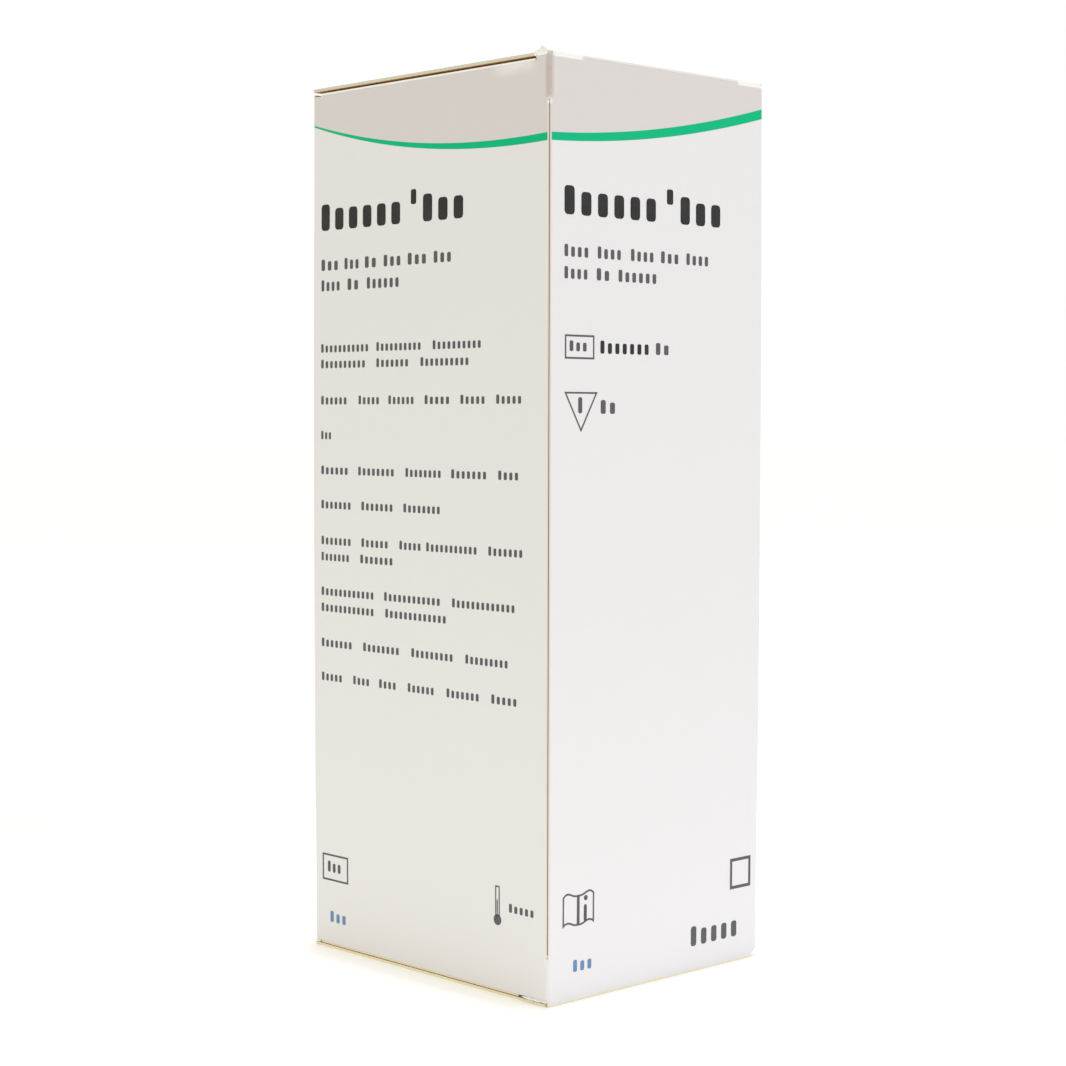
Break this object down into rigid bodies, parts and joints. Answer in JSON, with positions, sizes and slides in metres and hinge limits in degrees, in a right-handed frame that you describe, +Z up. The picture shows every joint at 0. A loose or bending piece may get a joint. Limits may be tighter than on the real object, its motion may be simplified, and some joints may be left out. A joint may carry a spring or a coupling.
{
  "type": "folding carton with test strip tube",
  "caption": "Tall reverse-tuck folding paperboard carton holding a stoppered tube of urine test strips and a folded leaflet.",
  "frame": {"origin": "centre of the underside, on the surface that the closed carton stands on", "axes": "+X across the narrow front panel to the right, +Y from the front panel to the back panel, +Z up"},
  "size_m": [0.0484, 0.0564, 0.142],
  "materials": {
    "printed_board": "white clay-coated folding boxboard, satin varnish",
    "bare_board": "uncoated board, glued",
    "leaflet_paper": "thin uncoated paper",
    "label_paper": "coated label paper",
    "tube_plastic": "moulded, satin",
    "stopper_plastic": "moulded, soft satin",
    "desiccant": "granular fill",
    "disc_card": "uncoated card",
    "strip_film": "thin white film",
    "reagent_pad": "nine absorbent reagent papers of different colours under a white mesh"
  },
  "bodies": {
    "carton": {"front_panel": "printed_board", "back_panel": "printed_board", "left_panel": "printed_board", "right_panel": "printed_board", "glue_tab": "bare_board"},
    "top_lid": {"top_lid": "printed_board"},
    "top_tuck_flap": {"top_tuck_flap": "printed_board"},
    "top_dust_flap_left": {"top_dust_flap_left": "printed_board"},
    "top_dust_flap_right": {"top_dust_flap_right": "printed_board"},
    "bottom_lid": {"bottom_lid": "printed_board"},
    "bottom_tuck_flap": {"bottom_tuck_flap": "printed_board"},
    "bottom_dust_flap_left": {"bottom_dust_flap_left": "printed_board"},
    "bottom_dust_flap_right": {"bottom_dust_flap_right": "printed_board"},
    "leaflet": {"leaflet": "leaflet_paper"},
    "tube": {"tube": "tube_plastic", "tube_label": "label_paper", "strip_films": "strip_film", "test_zones": "reagent_pad"},
    "stopper": {"stopper": "stopper_plastic", "desiccant": "desiccant", "desiccant_disc": "disc_card"}
  },
  "joints": [
    {"name": "top_lid_hinge", "type": "hinge", "parent": "carton", "child": "top_lid", "pos_m": [0, -0.02778, 0.14178], "axis": [1, 0, 0], "range_deg": [0, 150]},
    {"name": "top_tuck_crease", "type": "hinge", "parent": "top_lid", "child": "top_tuck_flap", "pos_m": [0, 0.02703, 0.14178], "axis": [1, 0, 0], "range_deg": [0, 23]},
    {"name": "top_dust_crease_left", "type": "hinge", "parent": "carton", "child": "top_dust_flap_left", "pos_m": [-0.02378, 0, 0.14097], "axis": [0, -1, 0], "range_deg": [0, 76]},
    {"name": "top_dust_crease_right", "type": "hinge", "parent": "carton", "child": "top_dust_flap_right", "pos_m": [0.02378, 0, 0.14097], "axis": [0, 1, 0], "range_deg": [0, 76]},
    {"name": "bottom_lid_hinge", "type": "hinge", "parent": "carton", "child": "bottom_lid", "pos_m": [0, 0.02778, 0.00022], "axis": [1, 0, 0], "range_deg": [0, 150]},
    {"name": "bottom_tuck_crease", "type": "hinge", "parent": "bottom_lid", "child": "bottom_tuck_flap", "pos_m": [0, -0.02703, 0.00022], "axis": [1, 0, 0], "range_deg": [0, 23]},
    {"name": "bottom_dust_crease_left", "type": "hinge", "parent": "carton", "child": "bottom_dust_flap_left", "pos_m": [-0.02378, 0, 0.00076], "axis": [0, 1, 0], "range_deg": [0, 76]},
    {"name": "bottom_dust_crease_right", "type": "hinge", "parent": "carton", "child": "bottom_dust_flap_right", "pos_m": [0.02378, 0, 0.00076], "axis": [0, -1, 0], "range_deg": [0, 76]},
    {"name": "leaflet_lift", "type": "slide", "parent": "carton", "child": "leaflet", "axis": [0, 0, 1], "range_m": [0, 0.026]},
    {"name": "tube_lift", "type": "slide", "parent": "carton", "child": "tube", "axis": [0, 0, 1], "range_m": [0, 0.0045]},
    {"name": "stopper_pull", "type": "slide", "parent": "tube", "child": "stopper", "axis": [0, 0, 1], "range_m": [0, 0.009]}
  ],
  "couplings": [
    {"joint": "top_tuck_crease", "follows": "top_lid_hinge", "ratio": 0.15},
    {"joint": "top_dust_crease_left", "follows": "top_lid_hinge", "ratio": 0.5},
    {"joint": "top_dust_crease_right", "follows": "top_lid_hinge", "ratio": 0.5},
    {"joint": "bottom_tuck_crease", "follows": "bottom_lid_hinge", "ratio": 0.15},
    {"joint": "bottom_dust_crease_left", "follows": "bottom_lid_hinge", "ratio": 0.5},
    {"joint": "bottom_dust_crease_right", "follows": "bottom_lid_hinge", "ratio": 0.5}
  ]
}
